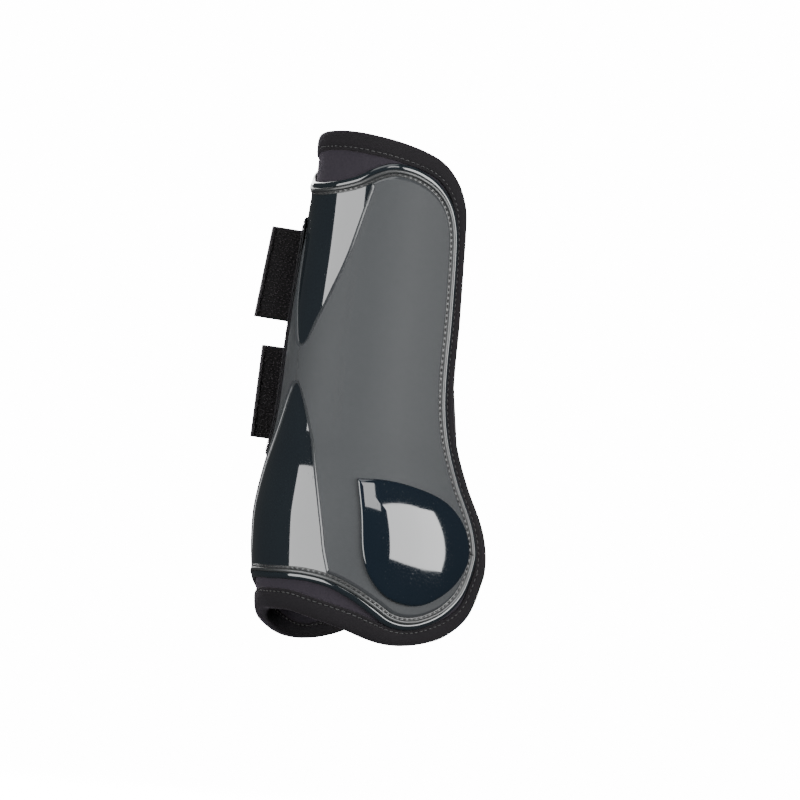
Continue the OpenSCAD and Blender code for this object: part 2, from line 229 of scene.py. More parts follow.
# ---- meshes
class Builder:
    """Collects vertices, faces, texture coordinates in metres and material indices."""

    def __init__(self):
        self.verts, self.faces, self.uvs, self.mats, self.count = [], [], [], [], 0

    def add(self, verts):
        verts = np.asarray(verts, float).reshape(-1, 3)
        self.verts.append(verts)
        first = self.count
        self.count += len(verts)
        return first

    def quads(self, index, uv, mat=0):
        index = np.asarray(index).reshape(-1, 4)
        self.faces.append(index)
        self.uvs.append(np.asarray(uv, float).reshape(-1, 4, 2))
        self.mats.append(np.full(len(index), mat) if np.isscalar(mat) else np.asarray(mat))

    def grid(self, points, uv, flip=False, mat=0):
        """Quads over points of shape (rows, columns, 3)."""
        first = self.add(points)
        rows, cols = points.shape[:2]
        i, j = np.meshgrid(np.arange(rows - 1), np.arange(cols - 1), indexing="ij")
        a = (i * cols + j).ravel()
        quad = np.stack([a, a + 1, a + cols + 1, a + cols], 1)
        if flip:
            quad = quad[:, ::-1]
        self.quads(quad + first, uv.reshape(-1, 2)[quad], mat)
        return first

    def rings(self, points, uv, close_rings=True, joined=False, mat=0, caps=True):
        """Quads over rings (rings, points, 3) of an outline that runs anticlockwise along the sweep."""
        n, k = points.shape[:2]
        first = self.add(points)
        i, j = np.meshgrid(np.arange(n if joined else n - 1), np.arange(k if close_rings else k - 1),
                           indexing="ij")
        i, j = i.ravel(), j.ravel()
        at = lambda a, b: first + (a % n) * k + b % k
        quad = np.stack([at(i, j), at(i + 1, j), at(i + 1, j + 1), at(i, j + 1)], 1)
        u, v = uv
        j2 = j + 1 if not close_rings else (j + 1) % k
        corner = np.stack([np.stack([u[i], v[j]], 1), np.stack([u[i + 1], v[j]], 1),
                           np.stack([u[i + 1], v[j2]], 1), np.stack([u[i], v[j2]], 1)], 1)
        self.quads(quad, corner, mat)
        if close_rings and not joined and caps:
            for ring, turn in ((0, 1), (n - 1, -1)):
                middle = self.add(points[ring].mean(0))
                j = np.arange(k)
                here, following = first + ring * k + j, first + ring * k + (j + 1) % k
                tri = np.stack([np.full(k, middle), here, following], 1)[:, ::turn]
                self.faces.append(tri)
                self.uvs.append(np.stack([np.full((k, 3), u[ring]), np.stack([v[j]] * 3, 1)], 2))
                self.mats.append(np.zeros(k, int))
        return first

    def build(self, name, materials, slot, body="root", replaces=(), creased=False):
        mesh = bpy.data.meshes.new(name)
        verts = np.vstack(self.verts)
        loops = np.concatenate([f.ravel() for f in self.faces])
        sizes = np.concatenate([np.full(len(f), f.shape[1]) for f in self.faces])
        mesh.vertices.add(len(verts))
        mesh.vertices.foreach_set("co", verts.astype(np.float32).ravel())
        mesh.loops.add(len(loops))
        mesh.loops.foreach_set("vertex_index", loops.astype(np.int32))
        mesh.polygons.add(len(sizes))
        mesh.polygons.foreach_set("loop_start", np.concatenate([[0], np.cumsum(sizes)[:-1]]).astype(np.int32))
        mesh.polygons.foreach_set("material_index", np.concatenate(self.mats).astype(np.int32))
        mesh.update(calc_edges=True)
        layer = mesh.uv_layers.new(name="UVMap")
        corners = np.concatenate([u.reshape(-1, 2) for u in self.uvs])
        layer.data.foreach_set("uv", corners.astype(np.float32).ravel())
        mesh.validate()
        mesh.shade_smooth()
        if creased:
            mesh.set_sharp_from_angle(angle=math.radians(62))
        for m in materials:
            mesh.materials.append(m)
        obj = bpy.data.objects.new(name, mesh)
        bpy.context.scene.collection.objects.link(obj)
        if body:
            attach(obj, body)
        if replaces:
            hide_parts(*replaces)
        return obj


def boot_uv(p):
    """Texture coordinates in metres: about the way round, and the height."""
    return np.stack([p[..., 0] * 0.72 * MM, p[..., 1] * MM], -1)


def skin(builder, loop, n, m, section, outer_off, inner_off, mats=None):
    """Closed sheet inside a rim. section runs from the outer face over the rim to the inner face as
    (way in from the rim, distance off the lining), and both faces fill the space inside it."""
    normals = inward(loop)
    first_loop, last_loop = loop + section[0][0] * normals, loop + section[-1][0] * normals
    grids = [patch(first_loop, n, m), patch(last_loop, n, m)]
    cols = n + 1
    edge = edge_index(n, m, cols)
    off = outer_off(grids[0]) if callable(outer_off) else outer_off
    outer = builder.grid(on_boot(grids[0][..., 0], grids[0][..., 1], off), boot_uv(grids[0]))
    inner = builder.grid(on_boot(grids[1][..., 0], grids[1][..., 1], inner_off), boot_uv(grids[1]), flip=True)
    rings = [edge + outer]
    flat = [boot_uv(first_loop)]
    for way, height in section[1:-1]:
        p = loop + way * normals
        rings.append(builder.add(on_boot(p[:, 0], p[:, 1], height)) + np.arange(len(loop)))
        flat.append(boot_uv(p))
    rings.append(edge + inner)
    flat.append(boot_uv(last_loop))
    for k in range(len(rings) - 1):
        a, b = rings[k], rings[k + 1]
        quad = np.stack([a, b, np.roll(b, -1), np.roll(a, -1)], 1)
        uv = np.stack([flat[k], flat[k + 1], np.roll(flat[k + 1], -1, 0), np.roll(flat[k], -1, 0)], 1)
        builder.quads(quad, uv, 0 if mats is None else mats[k])


def band(builder, loop, section, mat=0, width=None):
    """Closed band that follows a rim; section is a closed outline of (way in, distance off the lining).
    width, one number per rim point, stretches the ways that are over zero."""
    normals = inward(loop)
    points = []
    for way, off in section:
        reach = way if width is None else np.where(way > 0, way * width, way)
        p = loop + np.reshape(reach, (-1, 1)) * normals
        points.append(on_boot(p[:, 0], p[:, 1], off))
    points = np.stack(points, 1)
    run = np.concatenate([[0], np.cumsum(np.linalg.norm(np.diff(points[:, 0], axis=0), axis=1))])
    run = np.append(run, run[-1] + run[1])
    sec = np.array(section, float)
    across = np.concatenate([[0], np.cumsum(np.linalg.norm(np.diff(sec, axis=0), axis=1))]) * MM
    builder.rings(points[:, ::-1], (run, across[::-1]), joined=True, mat=mat)
    return points


def ribbon(builder, spine, section, uv_len, mat=0):
    """Strap solid. spine(w, lift) gives points (stations, 3) for a place across and a lift;
    section is a closed outline of (w, lift), both in mm."""
    points = np.stack([spine(w, lift) for w, lift in section], 1)
    sec = np.array(section, float)
    builder.rings(points[:, ::-1], (uv_len, (sec[:, 0] * MM)[::-1]), mat=mat)


def stitches(name, points, normals, pitch, radius, materials, body="root", replaces=(), closed=True, gap=0.28,
             sink=0.9):
    """A seam: one short thread stitch after another along points (metres), each dipping at its ends."""
    builder = Builder()
    p = np.vstack([points, points[:1]]) if closed else points
    q = np.vstack([normals, normals[:1]]) if closed else normals
    s = np.concatenate([[0], np.cumsum(np.linalg.norm(np.diff(p, axis=0), axis=1))])
    count = max(int(round(s[-1] / pitch)), 1)
    sides, steps = 6, 7
    start = np.arange(count) * s[-1] / count
    inside = np.linspace(gap / 2, 1 - gap / 2, steps) * s[-1] / count
    t = start[:, None] + inside[None]
    centre = np.stack([np.interp(t, s, p[:, c]) for c in range(3)], -1)
    up = np.stack([np.interp(t, s, q[:, c]) for c in range(3)], -1)
    up /= np.linalg.norm(up, axis=-1, keepdims=True)
    run = np.gradient(centre, axis=1)
    run /= np.linalg.norm(run, axis=-1, keepdims=True)
    side = np.cross(run, up)
    bow = np.sin(np.linspace(0.08, 0.92, steps) * math.pi)
    fat = radius * (0.45 + 0.55 * bow ** 0.6)
    height = radius * (1.25 * bow - sink)
    slant = rng.uniform(-0.12, 0.12, (count, 1)) * radius * np.linspace(-1, 1, steps)[None]
    centre = centre + up * height[None, :, None] + side * slant[..., None]
    angle = np.arange(sides) * 2 * math.pi / sides
    ring = (centre[:, :, None] + fat[None, :, None, None]
            * (up[:, :, None] * np.sin(angle)[None, None, :, None]
               + side[:, :, None] * np.cos(angle)[None, None, :, None]))
    uv = (inside, np.arange(sides) * radius)
    for k in range(count):
        builder.rings(ring[k], uv)
    return builder.build(name, materials, "thread", body, replaces)


# ---- materials
class Nodes:
    """Small helper over one material's node tree."""

    def __init__(self, name):
        self.material = bpy.data.materials.new(name)
        self.material.use_nodes = True
        self.tree = self.material.node_tree
        self.shader = self.tree.nodes["Principled BSDF"]

    def node(self, kind, values=None, **settings):
        made = self.tree.nodes.new(kind)
        for key, value in settings.items():
            setattr(made, key, value)
        for key, value in (values or {}).items():
            if isinstance(value, bpy.types.NodeSocket):
                self.tree.links.new(value, made.inputs[key])
            else:
                made.inputs[key].default_value = value
        return made

    def set(self, **values):
        for key, value in values.items():
            socket = self.shader.inputs[key.replace("_", " ")]
            if isinstance(value, bpy.types.NodeSocket):
                self.tree.links.new(value, socket)
            else:
                socket.default_value = value

    def coords(self, kind="Object"):
        return self.node("ShaderNodeTexCoord").outputs[kind]

    def uv(self):
        return self.node("ShaderNodeUVMap", uv_map="UVMap").outputs["UV"]

    def noise(self, vector, scale, detail=3.0, rough=0.5):
        return self.node("ShaderNodeTexNoise", {"Vector": vector, "Scale": scale, "Detail": detail,
                                                "Roughness": rough}).outputs["Fac"]

    def math(self, operation, a, b=0.0, clamp=False):
        return self.node("ShaderNodeMath", {0: a, 1: b}, operation=operation, use_clamp=clamp).outputs[0]

    def mapping(self, vector, scale=(1, 1, 1), rotation=(0, 0, 0)):
        settings = {"Vector": vector, "Scale": scale, "Rotation": rotation}
        return self.node("ShaderNodeMapping", settings).outputs[0]

    def wave(self, vector, scale, direction="X", distortion=0.0, detail=0.0, profile="SIN"):
        return self.node("ShaderNodeTexWave", {"Vector": vector, "Scale": scale, "Distortion": distortion,
                                               "Detail": detail}, bands_direction=direction,
                         wave_profile=profile).outputs["Fac"]

    def ramp(self, fac, low, high):
        """Maps fac, 0 to 1, onto low to high: numbers or colours."""
        if isinstance(low, (int, float)):
            return self.node("ShaderNodeMapRange", {"Value": fac, "From Min": 0.25, "From Max": 0.75,
                                                    "To Min": low, "To Max": high}).outputs["Result"]
        return self.node("ShaderNodeMix", {0: fac, 6: (*low, 1), 7: (*high, 1)}, data_type="RGBA").outputs[2]

    def bump(self, height, distance, strength=1.0, normal=None):
        values = {"Height": height, "Distance": distance, "Strength": strength}
        if normal is not None:
            values["Normal"] = normal
        return self.node("ShaderNodeBump", values).outputs["Normal"]


def gloss_material(name, base, lift):
    """Polished moulding: faint flow unevenness, hairline scuffs and a little dust."""
    n = Nodes(name)
    obj = n.coords()
    flow = n.noise(obj, 55, 2.0)
    scuff = n.noise(n.mapping(obj, (260, 260, 1900), (0.3, 0.2, 0.1)), 1.0, 2.0, 0.7)
    dust = n.math("GREATER_THAN", n.noise(obj, 900, 1.0), 0.73)
    n.set(Base_Color=n.ramp(n.noise(obj, 30), base, lift), IOR=1.5, Coat_Weight=0.25, Coat_Roughness=0.05)
    n.set(Roughness=n.math("ADD", n.ramp(scuff, 0.035, 0.07), n.math("MULTIPLY", dust, 0.12), clamp=True))
    n.set(Normal=n.bump(scuff, 0.000002, 0.5, n.bump(flow, 0.00004, 0.5)))
    return n.material


def matt_material(name, base, lift, roughness, grain=1.0, ior=1.5):
    """Moulding with a fine sparked grain."""
    n = Nodes(name)
    obj = n.coords()
    fine, coarse = n.noise(obj, 5200, 2.0, 0.6), n.noise(obj, 1500, 2.0)
    cloud = n.noise(obj, 16, 3.0)
    n.set(Base_Color=n.ramp(n.math("ADD", n.math("MULTIPLY", cloud, 0.7), n.math("MULTIPLY", coarse, 0.3)),
                            base, lift), IOR=ior)
    n.set(Roughness=n.ramp(coarse, roughness - 0.04, roughness + 0.06))
    n.set(Normal=n.bump(fine, 0.00004 * grain, 0.5, n.bump(coarse, 0.00003 * grain, 0.4)))
    return n.material


def knit_material(name, base, lift, pitch, depth, sheen):
    """Knitted jersey: columns of small V stitches. Its colour holds painted shade, darker in the hollows
    between the stitches, mixed with a random cloudy tone.
    """
    n = Nodes(name)
    uv = n.uv()
    per_metre = 1 / pitch
    split = n.node("ShaderNodeSeparateXYZ", {0: uv})
    column = n.math("MULTIPLY", split.outputs[0], per_metre)
    slant = n.math("MULTIPLY", n.math("PINGPONG", column, 0.5), 0.9)
    row = n.math("FRACT", n.math("ADD", n.math("MULTIPLY", split.outputs[1], per_metre * 1.35), slant))
    loop = n.math("SINE", n.math("MULTIPLY", row, math.pi))
    wale = n.math("SINE", n.math("MULTIPLY", n.math("FRACT", column), math.pi))
    height = n.math("MULTIPLY", loop, n.math("POWER", wale, 0.5))
    fuzz = n.noise(n.coords(), 2600, 3.0, 0.7)
    cloud = n.noise(n.coords(), 45, 3.0)
    # Colour: painted shade from the stitch height, darker in the hollows between stitches, plus a random
    # cloudy tone
    stitch_shade_and_tone = n.math("MULTIPLY", n.math("ADD", n.math("MULTIPLY", height, 0.6),
                                      n.math("MULTIPLY", cloud, 0.6)), 0.8)
    n.set(Base_Color=n.ramp(stitch_shade_and_tone, base, lift), Roughness=n.ramp(fuzz, 0.82, 0.95), IOR=1.2,
          Sheen_Weight=sheen, Sheen_Roughness=0.45, Sheen_Tint=(0.75, 0.68, 0.8, 1))
    n.set(Normal=n.bump(fuzz, depth * 0.5, 0.35, n.bump(height, depth, 0.6)))
    return n.material


def webbing_material(name, base, lift):
    """Elastic webbing: ribs along its length, crossed by a fine weave, with painted shade darkening the
    hollows between ribs and weft.
    """
    n = Nodes(name)
    split = n.node("ShaderNodeSeparateXYZ", {0: n.uv()})
    across = n.math("MULTIPLY", split.outputs[1], 1 / 0.0011)
    rib = n.math("SINE", n.math("MULTIPLY", n.math("FRACT", across), math.pi))
    shift = n.math("MULTIPLY", n.math("FLOOR", across), 0.5)
    weft = n.math("SINE", n.math("MULTIPLY", n.math("FRACT", n.math("ADD", n.math(
        "MULTIPLY", split.outputs[0], 1 / 0.0009), shift)), math.pi))
    height = n.math("ADD", n.math("MULTIPLY", rib, 0.6),
                    n.math("MULTIPLY", n.math("MULTIPLY", weft, rib), 0.5))
    fuzz = n.noise(n.coords(), 3200, 3.0, 0.7)
    # Colour: painted shade from the rib and weft height, darker in the hollows
    n.set(Base_Color=n.ramp(n.math("MULTIPLY", height, 0.9), base, lift),
          Roughness=n.ramp(fuzz, 0.7, 0.9), IOR=1.45,
          Sheen_Weight=0.12, Sheen_Roughness=0.4)
    n.set(Normal=n.bump(fuzz, 0.00006, 0.4, n.bump(height, 0.00025, 0.8)))
    return n.material


def thread_material(name, base, lift):
    """Twisted thread with a slight gloss, and painted shade darkening the grooves of its twist."""
    n = Nodes(name)
    twist = n.wave(n.mapping(n.uv(), (1, 1, 1), (0, 0, 0.6)), 900, "X")
    # Colour: painted shade, darker in the grooves of the twist
    n.set(Base_Color=n.ramp(twist, base, lift),
          Roughness=n.ramp(n.noise(n.coords(), 1500), 0.38, 0.55), IOR=1.5)
    n.set(Normal=n.bump(twist, 0.00006, 0.6))
    return n.material


def pile_material(name, base, lift, roughness, depth):
    """Fuzzy ground of hook or loop tape."""
    n = Nodes(name)
    obj = n.coords()
    tuft = n.noise(obj, 1300, 3.0, 0.75)
    cell = n.node("ShaderNodeTexVoronoi", {"Vector": obj, "Scale": 900.0}).outputs["Distance"]
    n.set(Base_Color=n.ramp(tuft, base, lift), Roughness=n.ramp(tuft, roughness, roughness + 0.12), IOR=1.2)
    n.set(Normal=n.bump(tuft, depth, 0.7, n.bump(cell, depth * 0.6, 0.5)))
    return n.material


gloss = gloss_material("gloss_black", (0.0055, 0.0075, 0.0095), (0.008, 0.0105, 0.0125))
guard_gloss = gloss_material("guard_black", (0.003, 0.0055, 0.0085), (0.005, 0.008, 0.012))
matt = matt_material("matt_charcoal", (0.0255, 0.0275, 0.0293), (0.0315, 0.0335, 0.0353), 0.60, 1.0, 1.26)
matt_edge = matt_material("moulded_edge", (0.022, 0.024, 0.026), (0.030, 0.032, 0.034), 0.13, 0.1)
ridge_matt = matt_material("rim_charcoal", (0.010, 0.011, 0.0115), (0.016, 0.0175, 0.018), 0.40)
neoprene = knit_material("neoprene_jersey", (0.0100, 0.0085, 0.0113), (0.0200, 0.0172, 0.0222),
                         0.0007, 0.00010, 0.09)
inner_jersey = knit_material("lining_jersey", (0.0075, 0.007, 0.008), (0.014, 0.013, 0.0148),
                             0.0009, 0.00014, 0.08)
tape = knit_material("binding_jersey", (0.0035, 0.0032, 0.0038), (0.0085, 0.0076, 0.0088),
                     0.0005, 0.00006, 0.06)
elastic = webbing_material("elastic_webbing", (0.007, 0.007, 0.008), (0.020, 0.020, 0.022))
thread = thread_material("black_thread", (0.003, 0.003, 0.0035), (0.009, 0.009, 0.010))
loop_ground = pile_material("loop_ground", (0.006, 0.006, 0.007), (0.022, 0.022, 0.024), 0.75, 0.0003)
loop_fibre = pile_material("loop_fibre", (0.012, 0.012, 0.013), (0.032, 0.032, 0.035), 0.55, 0.00003)
hook_ground = pile_material("hook_ground", (0.009, 0.0087, 0.009), (0.020, 0.019, 0.020), 0.7, 0.00025)
hook_fibre = pile_material("hook_fibre", (0.022, 0.0205, 0.0215), (0.055, 0.051, 0.054), 0.42, 0.00002)


# ---- shell
N, M = 420, 240
shell_loop = rim(SHELL_BOTTOM, SHELL_TOP, N, M)
shell_in_normals = inward(shell_loop)

# A faint raked line runs down each side of the upper window until it meets the window's edge
CREASE = [(31, 232), (33.5, 216), (34.6, 204), (33.6, 193), (29.5, 181)]


def shell_relief(p):
    """Glossy face: crease lines in the upper window."""
    angle, z = np.abs(p[..., 0]), p[..., 1]
    line = along([(b, a) for a, b in reversed(CREASE)], z)
    wide = 0.6
    groove = np.exp(-((angle - line) / wide) ** 2) * np.clip((z - 181) / 12, 0, 1)
    return SHELL_OUT - 0.06 * groove


def make_shell():
    builder = Builder()
    section = [(3.4, SHELL_OUT), (3.1, 1.62), (2.9, 1.86), (2.5, 2.02), (1.9, 2.06), (1.2, 1.96),
               (0.55, 1.74),
               (0.15, 1.42), (0, 1.05), (0, 0.6), (0.15, 0.34), (0.4, SHELL_IN), (3.4, SHELL_IN)]
    skin(builder, shell_loop, N, M, section, shell_relief, SHELL_IN)
    return builder.build("gloss_shell", [gloss], "gloss_shell", replaces=["tendon_shell"])


def make_rim_ridge():
    """Matt moulded ridge and sewing groove that frame the shell just inside its glossy flange."""
    builder = Builder()
    section = [(6.45, 1.45), (6.25, 1.68), (5.95, 1.72), (5.25, 1.72), (4.98, 1.85), (4.86, 2.2), (4.6, 2.5),
               (4.2, 2.62), (3.7, 2.62), (3.35, 2.5), (3.12, 2.24), (3.05, 1.9), (3.05, 1.45)]
    band(builder, shell_loop, section[::-1])
    return builder.build("rim_ridge", [ridge_matt], "matt_shell")


def window_edge(points, count):
    """Edge of a window from the spine outwards, smooth across the spine."""
    p = [(-points[1][0], points[1][1])] + list(points)
    return resample(curve(p, np.linspace(1 / (len(p) - 1), 1, 400)), count)


def make_matt_layer():
    """Two matt wings joined along the spine between the windows, with polished bevels on their edges."""
    frame_line = shell_loop + FRAME_WAY * shell_in_normals
    wrap = np.vstack([frame_line, frame_line[:1]])
    low, front, high = wrap[N // 2: N + 1], wrap[N: N + M + 1], wrap[N + M: N + M + N // 2 + 1]
    lower, upper = window_edge(LOWER_WINDOW, 400), window_edge(UPPER_WINDOW, 400)

    def meet(edge, line):
        """Indices where a window's edge first comes nearest to the frame line."""
        scale = np.array([0.7, 1.0])
        far = np.linalg.norm((edge[:, None] - line[None]) * scale, axis=2)
        return np.unravel_index(np.argmin(far), far.shape)

    e_low, f_low = meet(lower, low)
    e_high, f_high = meet(upper, high)
    columns = 150
    low = resample(low[f_low:], columns)
    high = resample(high[: f_high + 1], columns)
    rows_low, rows_mid, rows_high = 96, 20, 84
    rows = rows_low + rows_mid + rows_high
    front = resample(front, rows)
    rear_low = resample(np.vstack([lower[:e_low], low[:1]])[::-1], rows_low)
    rear_high = resample(np.vstack([upper[:e_high], high[-1:]]), rows_high)
    spine = np.stack([np.zeros(rows_mid + 1), np.linspace(rear_low[-1, 1], rear_high[0, 1], rows_mid + 1)], 1)
    # Outline anticlockwise: bottom, front, top, down the upper window, the spine, down the lower window
    outline = np.vstack([low[:-1], front[:-1], high[:-1], rear_high[::-1][:-1], spine[::-1][:-1],
                         rear_low[::-1][:-1]])
    normals = inward(outline)
    tip_high = columns * 2 + rows + rows_high
    tip_low = tip_high + rows_mid
    normals[tip_high], normals[tip_low] = (0, -1), (0, 1)
    normals[tip_high + 1: tip_low] = 0

    section = [(1.9, MATT_OUT), (1.6, MATT_OUT - 0.03), (1.2, MATT_OUT - 0.13), (0.8, MATT_OUT - 0.27),
               (0.45, MATT_OUT - 0.42), (0.22, MATT_OUT - 0.62), (0.08, MATT_OUT - 0.85), (0, 1.6), (0, 1.4)]
    parts = Builder()
    for side in (1, -1):
        lines = [outline + way * normals for way, _ in section]
        for line in lines:
            share = np.linspace(0, 1, rows_mid + 1)[:, None]
            line[tip_high: tip_low + 1] = line[tip_high] + share * (line[tip_low] - line[tip_high])
        loop = lines[0]
        closed = np.vstack([loop, loop[:1]])
        grid = coons(closed[: columns + 1], closed[columns: columns + rows + 1],
                     closed[columns + rows: 2 * columns + rows + 1][::-1], closed[2 * columns + rows:][::-1])
        cloud = on_boot(grid[..., 0], grid[..., 1], MATT_OUT + matt_relief(grid))
        first = parts.grid(cloud * [side, 1, 1], boot_uv(grid), flip=side < 0)
        edge = edge_index(columns, rows, columns + 1) + first
        shown = np.ones(len(outline), bool)
        shown[tip_high:tip_low] = False
        ring, uv = edge, boot_uv(loop)
        for step, (way, height) in enumerate(section[1:]):
            p = lines[step + 1]
            new = parts.add(on_boot(p[:, 0], p[:, 1], height) * [side, 1, 1]) + np.arange(len(p))
            quad = np.stack([ring, new, np.roll(new, -1), np.roll(ring, -1)], 1)[shown]
            corner = np.stack([uv, boot_uv(p), np.roll(boot_uv(p), -1, 0), np.roll(uv, -1, 0)], 1)[shown]
            if side < 0:
                quad, corner = quad[:, ::-1], corner[:, ::-1]
            parts.quads(quad, corner, 1 if step >= 1 else 0)
            ring, uv = new, boot_uv(p)
    obj = parts.build("matt_layer", [matt, matt_edge], "matt_shell", replaces=["matt_overlay"])
    weld(obj)
    return obj


def matt_relief(p):
    """A soft fold line down each wing, where the moulding turns from the back to the side."""
    angle, z = p[..., 0], p[..., 1]
    line = 41 - 0.02 * (z - 110)
    fade = np.clip((z - 88) / 25, 0, 1) * np.clip((188 - z) / 20, 0, 1)
    return -0.10 * np.exp(-((angle - line) / 1.6) ** 2) * fade


def weld(obj, distance=0.000002):
    """Merges points that lie on each other and removes what no face uses."""
    import bmesh
    bm = bmesh.new()
    bm.from_mesh(obj.data)
    bmesh.ops.remove_doubles(bm, verts=bm.verts, dist=distance)
    bmesh.ops.delete(bm, geom=[v for v in bm.verts if not v.link_faces], context="VERTS")
    bm.to_mesh(obj.data)
    bm.free()


def make_guard(name, side, node):
    """Domed fetlock guard with a steep wall and a crowned face."""
    builder = Builder()
    outline = resample(curve(GUARD_RIM, np.linspace(0, 1, 600)), 260)[:-1]
    profile = [(1, -0.05), (1, 0.08), (1.0, 0.45), (0.994, 0.60), (0.982, 0.68), (0.965, 0.725),
               (0.94, 0.755)]
    profile += [(s, 0.755 + 0.245 * (1 - (s / 0.94) ** 2.0)) for s in np.linspace(0.9, 0.02, 40)]
    centre = np.array(GUARD_MIDDLE, float)
    rings = np.stack([on_boot(*(centre + s * (outline - centre)).T, GUARD_IN + GUARD_RISE * h)
                      for s, h in profile])
    rings = rings * [side, 1, 1]
    if side < 0:
        rings = rings[:, ::-1]
    run = np.linspace(0, 0.19, rings.shape[1])
    builder.rings(rings[:, ::-1], (np.array([1 - s for s, _ in profile]) * 0.03, run))
    return builder.build(name, [guard_gloss], "guard", replaces=[node])


# ---- lining
lining_loop = rim(LINING_BOTTOM, LINING_TOP, N, M)


def soft(p, amount):
    """Slow unevenness of a soft sheet."""
    a, z = p[..., 0], p[..., 1]
    return amount * (np.sin(a * 0.11 + z * 0.031) * 0.5 + np.sin(a * 0.053 - z * 0.057 + 1.3) * 0.5)


def make_lining():
    builder = Builder()
    section = [(2.0, -0.12), (0.9, -0.2), (0.3, -0.7), (0.05, -1.8), (0.05, -LINING_T + 1.8),
               (0.3, -LINING_T + 0.7),
               (0.9, -LINING_T + 0.2), (2.0, -LINING_T)]
    skin(builder, lining_loop, N, M, section, lambda p: -0.12 + soft(p, 0.10), -LINING_T)
    obj = builder.build("neoprene_lining_pad", [neoprene, inner_jersey], "neoprene",
                        replaces=["neoprene_lining"])
    faces = obj.data.polygons
    middle = np.zeros(len(faces) * 3)
    faces.foreach_get("normal", middle)
    normal = middle.reshape(-1, 3)
    faces.foreach_get("center", middle)
    centre = middle.reshape(-1, 3)
    towards = (centre - [0, 0.012, 0]) * [1, 1, 0]
    inside = (normal * towards).sum(1) < 0
    faces.foreach_set("material_index", inside.astype(np.int32))
    return obj


def rim_gap():
    """How far the lining's rim stands out from the shell's rim, in mm, at each lining rim point."""
    a, b = on_boot(*lining_loop.T, 0), on_boot(*shell_loop.T, 0)
    return np.array([np.sqrt(((b - p) ** 2).sum(1).min()) for p in a]) / MM


def make_binding():
    builder = Builder()
    width = np.clip(rim_gap() - 0.25, 5, 9.0)
    kernel = np.ones(25) / 25
    width = np.convolve(np.concatenate([width[-12:], width, width[:12]]), kernel, "valid")
    outer = [(1.0, 0.03), (0.995, 0.55), (0.965, 0.80), (0.90, 0.90), (0.84, 0.72), (0.80, 0.62),
             (0.76, 0.78),
             (0.70, 1.02), (0.55, 1.18), (0.38, 1.20), (0.2, 1.08), (0.06, 0.82)]
    edge = [(-0.45, 0.35), (-0.95, -0.5), (-1.15, -1.6), (-1.15, -LINING_T + 1.6), (-0.95, -LINING_T + 0.5),
            (-0.45, -LINING_T - 0.35)]
    inner = [(s, -LINING_T - h) for s, h in reversed(outer)]
    hidden = [(1.0, -LINING_T + 0.4), (0.1, -LINING_T + 0.4), (0.1, -0.5), (1.0, -0.5)]
    section = outer + edge + inner + hidden
    points = []
    normals = inward(lining_loop)
    along_rim = np.arange(len(lining_loop))
    for way, off in section:
        reach = way * width if way > 0 else np.full(len(width), way)
        # The tape puckers between the stitches beside its seam
        pucker = 0.07 * np.sin(along_rim * 2.1 + 3 * math.sin(way)) * math.exp(-((way - 0.83) / 0.14) ** 2)
        height = off + (pucker if off > 0 else -pucker if off < -LINING_T else 0)
        p = lining_loop + reach[:, None] * normals
        points.append(on_boot(p[:, 0], p[:, 1], height))
    points = np.stack(points, 1)
    run = np.concatenate([[0], np.cumsum(np.linalg.norm(np.diff(points[:, 0], axis=0), axis=1))])
    run = np.append(run, 2 * run[-1] - run[-2])
    sec = np.array([(w * 9 if w > 0 else w, h) for w, h in section])
    across = np.concatenate([[0], np.cumsum(np.linalg.norm(np.diff(sec, axis=0), axis=1))]) * MM
    builder.rings(points, (run, across), joined=True)
    obj = builder.build("binding_tape", [tape], "binding", replaces=["edge_binding"])
    seam = lining_loop + (0.80 * width)[:, None] * normals
    stitches("binding_seam", on_boot(*seam.T, 0.72), lift_of(seam), 0.0030, 0.00036, [thread],
             replaces=["binding_stitching"])
    stitches("binding_seam_inside", on_boot(*seam.T, -LINING_T - 0.72), -lift_of(seam), 0.0030, 0.00036,
             [thread])
    return obj


def make_shell_seam():
    p = shell_loop + 5.6 * shell_in_normals
    stitches("shell_seam", on_boot(*p.T, 1.82), lift_of(p), 0.0029, 0.00034, [thread],
             replaces=["shell_stitching"])
    # The seam comes out on the lining's inner face
    stitches("shell_seam_inside", on_boot(*p.T, -LINING_T + 0.02), -lift_of(p), 0.0029, 0.00034, [thread])


# ---- loop patch
def loop_loop(n, m):
    share = np.linspace(0, 1, 300)
    low, high = resample(curve(LOOP_BOTTOM, share), n), resample(curve(LOOP_TOP, share), n)
    up = np.linspace(0, 1, m + 1)[:, None]
    return np.vstack([low[:-1], (low[-1] + up * (high[-1] - low[-1]))[:-1], high[:0:-1],
                      (high[0] + up * (low[0] - high[0]))[:-1]])


